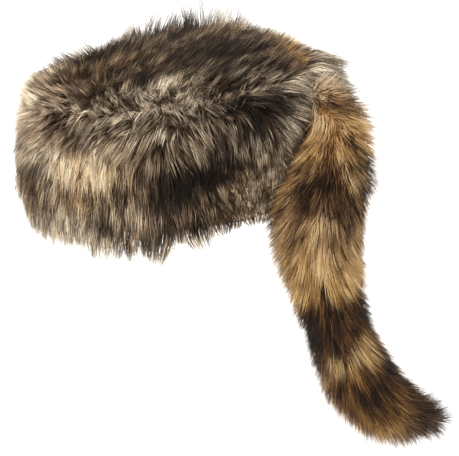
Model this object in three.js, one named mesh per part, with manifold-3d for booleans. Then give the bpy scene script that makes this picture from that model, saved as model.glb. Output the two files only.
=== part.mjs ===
// Fur cap with a ringed tail: a soft round cap of long pile fur, with a low domed top panel, a deep side
// band and a stuffed tail that is sewn on at the back and hangs below the hem.
// Millimetres, +Z up out of the top of the cap. The origin is the middle of the head opening, in the plane
// of the hem. The front of the cap faces -Y and the tail is at the back, at +Y.
import * as THREE from "three";
import { mergeVertices } from "three/addons/utils/BufferGeometryUtils.js";
import Module from "manifold-3d";

const wasm = await Module();
wasm.setup();

// The head opening and the sewn ground fabric.
const headLength = 194; // inside, front to back
const headWidth = 178; // inside, side to side
const backing = 2; // the knitted ground of the pile fabric
const bandHeight = 78; // from the hem's edge to the top seam
const bandLean = 3; // how far the band leans in at its top
const hemDepth = 20; // how far the hem is turned up inside
const seamAllowance = 9; // the top panel's edge, turned down inside the band
const crownRise = 12; // how far the top panel domes above the seam
const gap = 0.3; // between two pieces that touch

// The pile: dense underfur next to the backing, and guard hair in locks that grow out of it.
const underfur = 17; // where the band is fullest
const rootDepth = 7; // how deep a lock starts inside the underfur
const hairLength = 34;
const tuftWidth = 25;
const tuftThickness = 14;
const crownUnderfur = 13;
const crownRootDepth = 4;

// The tail: a stuffed skin with locks of its own, sewn on just under the top seam.
const tailSeatHeight = 62;
const tailDrop = 230; // from its seat down to the end of its stuffing
const tailRadius = 21; // of the skin and its underfur, where they are widest
const tailHairLength = 37;
const tailTuftWidth = 22;
const tailPlay = 12; // how far the tail's locks reach off its underfur

// How finely round forms are cut, and how many locks there are.
const roundSides = 30;
const tailSides = 9;
const tailSteps = 18;
const locksRound = 30;
const crownLocks = 52;
const tailLocks = 86;

const degree = Math.PI / 180;
const goldenTurn = Math.PI * (3 - Math.sqrt(5));
const headRadius = (headLength + headWidth) / 4; // of the round profile that becomes the oval
const bandOuter = headRadius + backing;
const seamRadius = bandOuter - bandLean;
const pileInner = bandOuter + gap;
const up = new THREE.Vector3(0, 0, 1);

// A repeatable spread of values from -1 to 1, so that no two neighbouring locks are alike.
function uneven(index, salt) {
  const wave = Math.sin(index * 12.9898 + salt * 78.233) * 43758.5453;
  return 2 * THREE.MathUtils.euclideanModulo(wave, 1) - 1;
}

// How far the band leans in at a height.
const leanAt = (z) => bandLean * THREE.MathUtils.clamp(z / bandHeight, 0, 1);

// Reads one column of a table at a place between its rows.
function readTable(rows, by, place, wanted) {
  const inside = THREE.MathUtils.clamp(place, rows[0][by], rows.at(-1)[by]);
  const next = Math.max(1, rows.findIndex((row) => row[by] >= inside));
  const [a, b] = [rows[next - 1], rows[next]];
  return THREE.MathUtils.mapLinear(inside, a[by], b[by], a[wanted], b[wanted]);
}

// Stretches a round radius to the head's oval: a share of the half size inside it, plain distance outside.
function ovalHalf(radius, half) {
  return radius <= headRadius ? (half * radius) / headRadius : half + radius - headRadius;
}

function ovalPoint(radius, turn, z) {
  const x = ovalHalf(radius, headWidth / 2) * Math.cos(turn);
  const y = ovalHalf(radius, headLength / 2) * Math.sin(turn);
  return new THREE.Vector3(x, y, z);
}

// The level direction square to the oval, pointing out.
function ovalOutward(turn) {
  return new THREE.Vector3(Math.cos(turn) / headWidth, Math.sin(turn) / headLength, 0).normalize();
}

// A geometry's shared vertices are joined and its flat triangles dropped, and it becomes a solid.
function toSolid(geometry) {
  const bare = geometry.clone();
  bare.deleteAttribute("normal");
  bare.deleteAttribute("uv");
  const merged = mergeVertices(bare, 1e-3);
  const corners = [];
  for (let i = 0; i < merged.index.count; i += 3) {
    const [a, b, c] = [0, 1, 2].map((k) => merged.index.getX(i + k));
    if (a !== b && b !== c && c !== a) corners.push(a, b, c);
  }
  const vertProperties = merged.attributes.position.array;
  return new wasm.Manifold(new wasm.Mesh({ numProp: 3, vertProperties, triVerts: new Uint32Array(corners) }));
}

function toGeometry(solid) {
  const mesh = solid.getMesh();
  const geometry = new THREE.BufferGeometry();
  geometry.setAttribute("position", new THREE.BufferAttribute(mesh.vertProperties, 3));
  geometry.setIndex(new THREE.BufferAttribute(mesh.triVerts, 1));
  geometry.computeVertexNormals();
  return geometry;
}

// Locks that cross a cut can leave loose clippings behind: the largest body is the piece.
function largestBody(solid) {
  return solid.decompose().reduce((best, body) => (body.volume() > best.volume() ? body : best));
}

// Turns a profile of [radius, z] stations round the head's oval. Stations run up the outside.
function sweepOval(profile) {
  const stations = profile.map(([radius, z]) => new THREE.Vector2(radius, z));
  const geometry = new THREE.LatheGeometry(stations, roundSides).rotateX(Math.PI / 2);
  const position = geometry.attributes.position;
  for (let i = 0; i < position.count; i++) {
    const radius = Math.hypot(position.getX(i), position.getY(i));
    const turn = Math.atan2(position.getY(i), position.getX(i));
    const place = ovalPoint(radius, turn, position.getZ(i));
    position.setXYZ(i, place.x, place.y, place.z);
  }
  return toSolid(geometry);
}

// One lock of guard hair, grown along +Y from its root, fullest near its middle and pointed. It is flat
// underneath and has a ridge along its back, at +Z.
function lockShape({ length, width, thickness, droop }) {
  const geometry = new THREE.ConeGeometry(1, length, 3, 2).translate(0, length / 2, 0);
  const position = geometry.attributes.position;
  for (let i = 0; i < position.count; i++) {
    const along = THREE.MathUtils.clamp(position.getY(i) / length, 0, 1);
    const cone = Math.max(1 - along, 1e-6);
    const full = (0.75 + 0.7 * along) * (1 - along ** 2);
    const x = (position.getX(i) / cone) * full * (width / 2);
    const z = (position.getZ(i) / cone) * full * (thickness / 2);
    position.setXYZ(i, x, position.getY(i), z - droop * length * along * along);
  }
  return geometry;
}

// Plants a lock with its root at a point, its length along one direction and its flat side facing another.
function plantLock(root, along, facing, size) {
  const way = along.clone().normalize();
  const side = new THREE.Vector3().crossVectors(way, facing).normalize();
  const face = new THREE.Vector3().crossVectors(side, way);
  const placed = new THREE.Matrix4().makeBasis(side, way, face).setPosition(root);
  return toSolid(lockShape(size).applyMatrix4(placed));
}

// The direction between a level or downward way and another, by an angle from the first.
function leaning(way, other, angle) {
  return way.clone().multiplyScalar(Math.cos(angle)).addScaledVector(other, Math.sin(angle));
}

// The band's ground: a wall round the head, with its hem turned up inside as a second layer.
function bandBacking() {
  const top = bandHeight - gap;
  const inner = (z) => headRadius - leanAt(z);
  return sweepOval([
    [headRadius - backing, 0],
    [bandOuter, 0],
    [bandOuter - leanAt(top), top],
    [inner(top), top],
    [inner(hemDepth), hemDepth],
    [inner(hemDepth) - backing, hemDepth - backing],
    [headRadius - backing, 0],
  ]);
}

// The top panel's dome, from its middle to its edge: shares of the seam's radius.
const domeShares = [0, 0.42, 0.76];
const domeAt = (share) => bandHeight + crownRise * (1 - share * share);

// The top panel's ground: a low dome over the band, with its seam allowance turned down inside.
function crownBacking() {
  const lip = headRadius - bandLean - gap;
  const inside = [...domeShares, 1].map((share) => [(lip - backing) * share, domeAt(share)]);
  const outside = domeShares.map((share) => [seamRadius * share, domeAt(share) + backing]).reverse();
  return sweepOval([
    ...inside,
    [lip - backing, bandHeight - seamAllowance],
    [lip, bandHeight - seamAllowance],
    [lip, bandHeight],
    [seamRadius, bandHeight],
    [seamRadius, bandHeight + backing / 2],
    ...outside,
  ]);
}

// The parting over the top seam slopes up and out: the band's pile stays under it, the top's pile over it.
// A side of 1 is everything above the parting, and -1 everything below.
function partingSolid(side) {
  const near = seamRadius - hairLength;
  const far = seamRadius + 3 * hairLength;
  const slope = Math.tan(50 * degree);
  const line = (radius) => bandHeight + (radius - seamRadius) * slope - (side * gap) / 2;
  const beyond = side > 0 ? line(far) + hairLength : line(near) - bandHeight;
  const stations = [[near, line(near)], [far, line(far)], [far, beyond], [near, beyond], [near, line(near)]];
  return sweepOval(side > 0 ? stations : stations.reverse());
}

// How full the band's underfur is at shares of its height: it swells under the seam and tapers to the hem.
const bandFullness = [
  { height: 0.12, full: 0.72 },
  { height: 0.45, full: 0.9 },
  { height: 0.84, full: 0.92 },
  { height: 1, full: 0.6 },
  { height: 1.07, full: 0.34 },
];

// Rows of locks down the band: where they root and how long they are, as shares of the band's height and of
// a whole lock, how steeply they fall below level in degrees, and how much they bend down.
const bandRows = [
  { height: 1, full: 0.7, fall: -34, length: 0.66, bend: 0.12 },
  { height: 0.93, full: 1, fall: 22, length: 0.7, bend: 0.12 },
  { height: 0.7, full: 0.95, fall: 50, length: 0.86, bend: 0.06 },
  { height: 0.42, full: 0.86, fall: 65, length: 0.96, bend: 0.03 },
  { height: 0.14, full: 0.72, fall: 78, length: 1.02, bend: 0 },
];

// The pile differs round the band, by degrees from the wearer's left towards the back. Hem and rim are shares of
// a lock's length there, and flare and rise are how many degrees more a lock stands out at the hem and up at the rim.
const bandSides = [
  { turn: -180, hem: 1, rim: 1, flare: 0, rise: 32 },
  { turn: -160, hem: 1, rim: 1.4, flare: 0, rise: 42 },
  { turn: -145, hem: 1, rim: 1, flare: 0, rise: 44 },
  { turn: -120, hem: 1, rim: 0.55, flare: 0, rise: 44 },
  { turn: -85, hem: 1, rim: 0.45, flare: 2, rise: 38 },
  { turn: -50, hem: 1, rim: 0.45, flare: 3, rise: 34 },
  { turn: -20, hem: 1, rim: 0.85, flare: 4, rise: 6 },
  { turn: 24, hem: 1, rim: 0.95, flare: 0, rise: 0 },
  { turn: 34, hem: 0.75, rim: 1, flare: 0, rise: 0 },
  { turn: 48, hem: 0.4, rim: 1, flare: 0, rise: 0 },
  { turn: 70, hem: 0.35, rim: 0.95, flare: 0, rise: -4 },
  { turn: 95, hem: 0.35, rim: 0.75, flare: 0, rise: -20 },
  { turn: 108, hem: 0.4, rim: 0.95, flare: 0, rise: -30 },
  { turn: 122, hem: 0.5, rim: 1.15, flare: 0, rise: -30 },
  { turn: 138, hem: 0.8, rim: 0.65, flare: 0, rise: 12 },
  { turn: 160, hem: 1, rim: 0.8, flare: 0, rise: 24 },
  { turn: 180, hem: 1, rim: 1, flare: 0, rise: 32 },
];

// A turn in radians as degrees from -180 to 180.
const asDegrees = (turn) => THREE.MathUtils.euclideanModulo(turn / degree + 180, 360) - 180;

function bandLocks() {
  return bandRows.flatMap((row, level) =>
    Array.from({ length: locksRound }, (_, index) => {
      const seed = level * locksRound + index;
      const turn = ((index + (level % 2) / 2 + 0.22 * uneven(seed, 1)) / locksRound) * 2 * Math.PI;
      const z = Math.min(row.height + 0.04 * uneven(seed, 2), 1) * bandHeight;
      const side = (wanted) => readTable(bandSides, "turn", asDegrees(turn), wanted);
      const atRim = THREE.MathUtils.smoothstep(row.height, 0.4, 0.95);
      const outward = ovalOutward(turn);
      const lifted = THREE.MathUtils.lerp(side("flare"), side("rise"), atRim);
      const reach = THREE.MathUtils.lerp(side("hem"), side("rim"), atRim) + 0.1 * uneven(seed, 5);
      const fall = (row.fall - lifted + 7 * uneven(seed, 3)) * degree;
      const sideways = new THREE.Vector3().crossVectors(up, outward);
      const along = leaning(outward, up, -fall).addScaledVector(sideways, 0.16 * uneven(seed, 4));
      const root = ovalPoint(pileInner - leanAt(z) + row.full * underfur - rootDepth, turn, z);
      return plantLock(root, along, outward, {
        length: hairLength * row.length * reach,
        width: tuftWidth * (1 + 0.15 * uneven(seed, 6)),
        thickness: tuftThickness,
        droop: row.bend,
      });
    }),
  );
}

function bandPile() {
  const skin = (share) => pileInner - leanAt(share * bandHeight);
  const outside = bandFullness.map(({ height, full }) => [skin(height) + full * underfur, height * bandHeight]);
  const base = sweepOval([
    [skin(0), gap],
    [skin(0) + underfur * 0.5, gap],
    ...outside,
    [skin(1), bandHeight - gap],
    [skin(0), gap],
  ]);
  return wasm.Manifold.union([base, ...bandLocks()]).subtract(partingSolid(1)).subtract(tailRoom(tailPlay));
}

// Locks of the top panel are combed from front to back, and stand up more the nearer they are to the seam. At
// the edge their lift and their length differ by the turn, as shares, and so does how far they are combed out
// over the seam instead.
const crownLift = { middle: 15, edge: 46 };
const crownSides = [
  { turn: -180, lift: 0.7, length: 0.9, over: 0.5 },
  { turn: -120, lift: 0.8, length: 0.7, over: 0.65 },
  { turn: -85, lift: 0.8, length: 0.6, over: 0.75 },
  { turn: -50, lift: 0.9, length: 0.7, over: 0.65 },
  { turn: -15, lift: 0.7, length: 0.95, over: 0.8 },
  { turn: 45, lift: 0.6, length: 0.9, over: 0.8 },
  { turn: 70, lift: 0.5, length: 0.75, over: 0.5 },
  { turn: 90, lift: 0.2, length: 0.6, over: 0.3 },
  { turn: 130, lift: 0.2, length: 0.65, over: 0.4 },
  { turn: 180, lift: 0.7, length: 0.9, over: 0.5 },
];

function crownPanelLocks() {
  return Array.from({ length: crownLocks }, (_, index) => {
    const share = Math.sqrt((index + 0.5) / crownLocks);
    const turn = index * goldenTurn;
    const rootRadius = seamRadius * share * 0.96;
    const tilt = Math.atan((2 * crownRise * share) / seamRadius);
    const facing = leaning(up, ovalOutward(turn), tilt);
    const atEdge = THREE.MathUtils.smoothstep(share, 0.5, 0.95);
    const side = (wanted) => THREE.MathUtils.lerp(1, readTable(crownSides, "turn", asDegrees(turn), wanted), atEdge);
    const over = atEdge * readTable(crownSides, "turn", asDegrees(turn), "over");
    const back = new THREE.Vector3(0.24 * uneven(index, 8), 1, 0).lerp(ovalOutward(turn), over);
    back.projectOnPlane(facing).normalize();
    const level = THREE.MathUtils.lerp(crownLift.middle, crownLift.edge, share ** 3);
    const lift = level * side("lift") + 8 * uneven(index, 7);
    const root = ovalPoint(rootRadius, turn, domeAt(share) + backing + crownUnderfur - crownRootDepth);
    return plantLock(root, leaning(back, facing, lift * degree), facing, {
      length: hairLength * (0.84 + 0.12 * uneven(index, 9)) * side("length"),
      width: tuftWidth * (1 + 0.15 * uneven(index, 10)),
      thickness: tuftThickness,
      droop: 0.12,
    });
  });
}

function crownPile() {
  const inside = domeShares.map((share) => [seamRadius * share, domeAt(share) + backing + gap]);
  const outside = domeShares.map((share) => [seamRadius * share, domeAt(share) + backing + crownUnderfur]);
  const base = sweepOval([
    ...inside,
    [seamRadius - gap, bandHeight + backing / 2 + gap],
    [seamRadius + crownUnderfur * 0.2, bandHeight + crownUnderfur * 0.7],
    ...outside.reverse(),
  ]);
  const panel = sweepOval([
    [0, bandHeight - seamAllowance],
    [seamRadius + gap, bandHeight - seamAllowance],
    [seamRadius + gap, bandHeight + backing / 2 + gap],
    ...inside.toReversed(),
  ]);
  const grown = wasm.Manifold.union([base, ...crownPanelLocks()]).subtract(panel);
  return grown.subtract(partingSolid(-1)).subtract(tailRoom(tailPlay));
}

// Where the tail's middle runs. Its drop, its way to the wearer's left and its late swing to the back are
// shares of the whole drop, and lying is a share of how far the band's pile and its own hold it off.
const tailRoute = [
  { drop: -0.01, left: 0, lying: -0.1, swing: 0 },
  { drop: -0.02, left: 0, lying: 0.35, swing: 0 },
  { drop: 0.02, left: 0.02, lying: 0.7, swing: 0 },
  { drop: 0.11, left: 0.08, lying: 0.86, swing: 0 },
  { drop: 0.21, left: 0.15, lying: 0.84, swing: 0 },
  { drop: 0.32, left: 0.19, lying: 0.74, swing: 0 },
  { drop: 0.49, left: 0.19, lying: 0.75, swing: 0 },
  { drop: 0.67, left: 0.165, lying: 0.71, swing: 0.026 },
  { drop: 0.825, left: 0.125, lying: 0.69, swing: 0.06 },
  { drop: 0.925, left: 0.075, lying: 0.69, swing: 0.107 },
  { drop: 0.98, left: 0, lying: 0.69, swing: 0.18 },
];

// The stuffed skin's radius at shares of the way along, as a share of its widest.
const tailGirth = [
  { share: 0, girth: 0.5 },
  { share: 0.08, girth: 0.68 },
  { share: 0.2, girth: 0.98 },
  { share: 0.34, girth: 1.14 },
  { share: 0.46, girth: 0.95 },
  { share: 0.58, girth: 0.82 },
  { share: 0.74, girth: 1 },
  { share: 0.84, girth: 1.02 },
  { share: 0.92, girth: 0.8 },
  { share: 1, girth: 0.34 },
];

function tailCurve() {
  const seat = headLength / 2 + backing - leanAt(tailSeatHeight);
  const standOff = underfur + tailRadius;
  const places = tailRoute.map(({ drop, left, lying, swing }) => {
    const behind = seat + lying * standOff + swing * tailDrop;
    return new THREE.Vector3(left * tailDrop, behind, tailSeatHeight - drop * tailDrop);
  });
  return new THREE.CatmullRomCurve3(places, false, "centripetal");
}

const girthAt = (share) => tailRadius * readTable(tailGirth, "share", share, "girth");

// A round tube along the tail, closed at both ends, wider than the stuffed skin by some play, of which only
// a part is there at the root.
function tailRoom(play) {
  const curve = tailCurve();
  const frames = curve.computeFrenetFrames(tailSteps, false);
  const tube = new THREE.CylinderGeometry(1, 1, tailSteps, tailSides, tailSteps);
  const position = tube.attributes.position;
  for (let i = 0; i < position.count; i++) {
    const step = Math.round(tailSteps / 2 - position.getY(i));
    const radius = girthAt(step / tailSteps) + play * Math.min(0.2 + step / tailSteps / 0.16, 1);
    const place = curve.getPointAt(step / tailSteps);
    place.addScaledVector(frames.normals[step], position.getX(i) * radius);
    place.addScaledVector(frames.binormals[step], position.getZ(i) * radius);
    position.setXYZ(i, place.x, place.y, place.z);
  }
  return toSolid(tube);
}

const tailLift = 29; // of its locks off its skin, in degrees

function tailLock(index, curve, frames) {
  const share = THREE.MathUtils.lerp(0.03, 1, index / (tailLocks - 1));
  const step = Math.round(share * tailLocks);
  const outward = leaning(frames.normals[step], frames.binormals[step], index * goldenTurn);
  const lift = tailLift * (1 - 0.45 * share) * (1 + 0.2 * uneven(index, 11)) * degree;
  const depth = Math.max(girthAt(share) - rootDepth, 0);
  const root = curve.getPointAt(share).addScaledVector(outward, depth);
  return plantLock(root, leaning(frames.tangents[step], outward, lift), outward, {
    length: tailHairLength * (1 + 0.12 * uneven(index, 12)),
    width: tailTuftWidth * (1 - 0.3 * share),
    thickness: tuftThickness * 0.8,
    droop: 0.03,
  });
}

// The tail's fur is held to its own room beside the band, and free in the brush at the end. Its root is
// trimmed to the band's ground.
function tailPiece() {
  const curve = tailCurve();
  const frames = curve.computeFrenetFrames(tailLocks, false);
  const locks = Array.from({ length: tailLocks }, (_, index) => tailLock(index, curve, frames));
  const brush = Math.round(0.75 * tailLocks);
  const beside = wasm.Manifold.union([tailRoom(0), ...locks.slice(0, brush)]).intersect(tailRoom(tailPlay - gap));
  const seat = sweepOval([
    [0, -bandHeight],
    [pileInner, -bandHeight],
    [pileInner, 0],
    [pileInner - bandLean, bandHeight],
    [0, bandHeight],
  ]);
  return wasm.Manifold.union([beside, ...locks.slice(brush)]).subtract(seat);
}

const colours = { knit: 0x6f6256, taupe: 0x85776a, dark: 0x5a4c42, tan: 0xa07c52 };

function piece(name, solid, colour, roughness) {
  const material = new THREE.MeshStandardMaterial({ color: colour, roughness, metalness: 0 });
  const mesh = new THREE.Mesh(toGeometry(largestBody(solid)), material);
  mesh.name = name;
  return mesh;
}

const cap = new THREE.Group();
cap.add(piece("band_backing", bandBacking(), colours.knit, 0.95));
cap.add(piece("crown_backing", crownBacking(), colours.knit, 0.95));
cap.add(piece("band_pile", bandPile(), colours.taupe, 0.8));
cap.add(piece("crown_pile", crownPile(), colours.dark, 0.8));
cap.add(piece("tail", tailPiece(), colours.tan, 0.8));

export default cap;
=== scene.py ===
import math

import bmesh
import bpy
import numpy as np
from mathutils import Matrix, Vector, noise


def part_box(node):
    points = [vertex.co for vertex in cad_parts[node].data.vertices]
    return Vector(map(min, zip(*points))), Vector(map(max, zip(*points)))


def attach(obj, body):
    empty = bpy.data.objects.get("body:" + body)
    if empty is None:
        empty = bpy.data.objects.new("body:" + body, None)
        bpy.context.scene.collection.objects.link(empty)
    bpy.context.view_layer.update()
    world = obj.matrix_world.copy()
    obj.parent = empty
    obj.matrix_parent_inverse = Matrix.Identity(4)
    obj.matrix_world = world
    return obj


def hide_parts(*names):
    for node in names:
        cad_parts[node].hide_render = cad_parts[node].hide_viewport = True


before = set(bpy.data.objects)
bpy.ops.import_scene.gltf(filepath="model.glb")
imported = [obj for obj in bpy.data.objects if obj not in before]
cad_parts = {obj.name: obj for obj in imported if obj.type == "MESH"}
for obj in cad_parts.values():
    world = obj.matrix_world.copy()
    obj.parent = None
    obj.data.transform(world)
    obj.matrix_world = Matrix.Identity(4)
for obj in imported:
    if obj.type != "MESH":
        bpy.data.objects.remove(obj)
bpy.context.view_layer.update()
mm = 0.001
print("frame loaded:", ", ".join(sorted(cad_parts)))


def linearColour(hexCode):
    parts = [int(hexCode[i:i + 2], 16) / 255 for i in (1, 3, 5)]
    return [p / 12.92 if p <= 0.04045 else ((p + 0.055) / 1.055) ** 2.4 for p in parts] + [1.0]


# Adds a node with its settings and links. Gives back one of its outputs, or the node where result is None.
def addNode(tree, kind, sockets=None, result=0, stops=(), **settings):
    node = tree.nodes.new(kind)
    for name, value in settings.items():
        setattr(node, name, value)
    for name, value in (sockets or {}).items():
        if isinstance(value, bpy.types.NodeSocket):
            tree.links.new(value, node.inputs[name])
        else:
            node.inputs[name].default_value = value
    while stops and len(node.color_ramp.elements) < len(stops):
        node.color_ramp.elements.new(1.0)
    for index, (place, colour) in enumerate(stops):
        node.color_ramp.elements[index].position = place
        node.color_ramp.elements[index].color = linearColour(colour)
    return node if result is None else node.outputs[result]


def smooth(value, low, high):
    share = np.clip((value - low) / (high - low), 0, 1)
    return share * share * (3 - 2 * share)


# A pair is a value and what is added to it where the share is 1
def blend(pair, share):
    return pair[0] + pair[1] * share


def unit(vectors):
    return vectors / np.maximum(np.linalg.norm(vectors, axis=-1, keepdims=True), 1e-9)


# A turn in degrees, from -180 to 180
def signedDegrees(turn):
    return (np.degrees(turn) + 180) % 360 - 180


# Soft lumps from -1 to 1 over points in space, each lump about one size across.
def lumps(points, size, seed):
    return np.array([noise.noise(Vector(p) / size + Vector((seed, 0, 0))) for p in points])


# Adds up layers of lumps. Each layer has its amount, size and seed.
def lumpLayers(points, layers):
    return sum(amount * lumps(points, size, seed) for amount, size, seed in layers)


# Reads one column of a table at places between its rows. The first row names the columns.
def column(table, wanted, places):
    names, rows = table[0], table[1:]
    return np.interp(places, [row[0] for row in rows], [row[names.index(wanted)] for row in rows])


def addObject(name, data):
    piece = bpy.data.objects.new(name, data)
    bpy.context.scene.collection.objects.link(piece)
    return piece


def makeMesh(name, points, faces, facts=None):
    mesh = bpy.data.meshes.new(name)
    mesh.from_pydata([tuple(p) for p in points], [], [tuple(f) for f in faces])
    for fact, values in (facts or {}).items():
        values = np.asarray(values, dtype=np.float32)
        kind, slot = ("FLOAT_VECTOR", "vector") if values.ndim == 2 else ("FLOAT", "value")
        mesh.attributes.new(fact, kind, "POINT").data.foreach_set(slot, values.ravel())
    mesh.polygons.foreach_set("use_smooth", [True] * len(mesh.polygons))
    mesh.update()
    return addObject(name, mesh)


def readFact(mesh, name, width):
    values = np.zeros(len(mesh.vertices) * width, dtype=np.float32)
    mesh.attributes[name].data.foreach_get("vector" if width == 3 else "value", values)
    return values.reshape(-1, width) if width == 3 else values


def gridFaces(rows, columns):
    faces = []
    for row in range(rows - 1):
        for here in range(columns):
            a, b = row * columns + here, row * columns + (here + 1) % columns
            faces.append((a, b, b + columns, a + columns))
    return faces


# A grid's faces with both ends closed, on two middle points that come after the grid's own.
def tubeFaces(rows, columns):
    faces = gridFaces(rows, columns)
    start, end, last = rows * columns, rows * columns + 1, (rows - 1) * columns
    for here in range(columns):
        beside = (here + 1) % columns
        faces += [(start, beside, here), (end, last + here, last + beside)]
    return faces


def evenTurns(count):
    return np.linspace(0, 2 * math.pi, count, endpoint=False)


# The oval of the cap's ground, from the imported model

halfWidth, halfLength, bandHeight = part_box("band_backing")[1]
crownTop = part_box("crown_backing")[1][2]
capForm = {
    "bandLean": 3 * mm,  # the band leans in at its top
    "backing": 2 * mm,
    "underfur": 17 * mm,  # where the band is fullest
    "crownUnderfur": 9 * mm,
    "rootDepth": 1.5 * mm,  # hair starts this far inside the underfur
    "seatGap": 0.5 * mm,  # underfur lies this far off the ground
}
crownRise = crownTop - bandHeight - capForm["backing"]


def ovalPoints(turn, out, height):
    out = out - capForm["bandLean"] * np.clip(height / bandHeight, 0, 1)
    across, along = (halfWidth + out) * np.cos(turn), (halfLength + out) * np.sin(turn)
    return np.stack([across, along, height + 0 * turn], -1)


# Ways out of the oval and round it
def ovalWays(turn):
    outward = unit(np.stack([np.cos(turn) / halfWidth, np.sin(turn) / halfLength, 0 * turn], -1))
    return outward, np.stack([-outward[:, 1], outward[:, 0], 0 * turn], -1)


# Tones of the coat where the hair roots: dark is 0 cream to 1 black, warm is 0 grey to 1 rust, and pale is
# the share of hairs with cream tips. Each patch fades into what is round it, and its edge wanders.

patchEdge = {
    "wander": [(0.5, 13 * mm, 51)],
    "waver": [(0.5, 13 * mm, 57)],
    "steepness": 1.2,
}


def paintPatches(points, across, up, start, coat):
    tones = {name: value + np.zeros(across.shape) for name, value in start.items()}
    wander, waver = (lumpLayers(points, patchEdge[name]) for name in ("wander", "waver"))
    names, *rows = coat["patches"]
    for row in rows:
        patch = dict(zip(names, row))
        sideways = (across - patch["across"]) / patch["wide"] + wander
        upward = (up - patch["up"]) / patch["tall"] + waver
        weight = np.exp(-(sideways ** 2 + upward ** 2) ** patchEdge["steepness"])
        for name in tones:
            if name in patch:
                tones[name] += weight * (patch[name] - tones[name])
    tones["dark"] = tones["dark"] + lumpLayers(points, coat["shade"])
    return tones


# One guard hair: three sides, three stations, a closed foot and a fine point

hairForm = [("along", "girth"), (0.0, 1.0), (0.5, 0.82)]
hairPoints = 3 * (len(hairForm) - 1) + 1


def makeGuardHair():
    strand, faces = [], [(2, 1, 0)]
    for along, girth in hairForm[1:]:
        for side in range(3):
            turn = side * 2 * math.pi / 3
            strand.append((girth * math.cos(turn), girth * math.sin(turn), along))
    strand.append((0, 0, 1))
    point = len(strand) - 1
    for ring in range(0, point - 3, 3):
        for side in range(3):
            a, b = ring + side, ring + (side + 1) % 3
            faces += [(a, b, b + 3), (a, b + 3, a + 3)]
    faces += [(point - 3, point - 2, point), (point - 2, point - 1, point), (point - 1, point - 3, point)]
    hair = makeMesh("guardHair", np.array(strand) * mm, faces, {"strand": np.array(strand)})
    hair.hide_render = True
    return hair


# Grows hair over a skin. Tufts gather wisps and wisps gather hairs, as in an animal's coat. The skin says at
# each place which way hair is combed, its reach, how upright it roots, how much it gathers and how messy it
# is. Each kind of hair has a seed step of its own, and so do its lengths and its curls.

hairGrowth = {
    "tuftStep": 11.0, "wispStep": 23.0, "hairStep": 37.0, "lengthStep": 5.0, "curlStep": 7.0,
    # at the middle and the tip: how strongly a hair is drawn to its leader, and how far beside it it stays
    "drawn": (("Mid", 0.45, 0.75), ("Tip", 1.0, 0.3)),
    # inputs of the tree that a coat gives by the same name
    "fromCoat": {
        "Hair Width": "hairWidth", "Tuft Pull": "tuftPull", "Wisp Pull": "wispPull",
        "Tuft Splay": "tuftSplay", "Wisp Splay": "wispSplay", "Hair Splay": "hairSplay",
        "Curl": "curl", "Uneven Length": "unevenLength", "Stray Share": "strayShare",
    },
}


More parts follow.
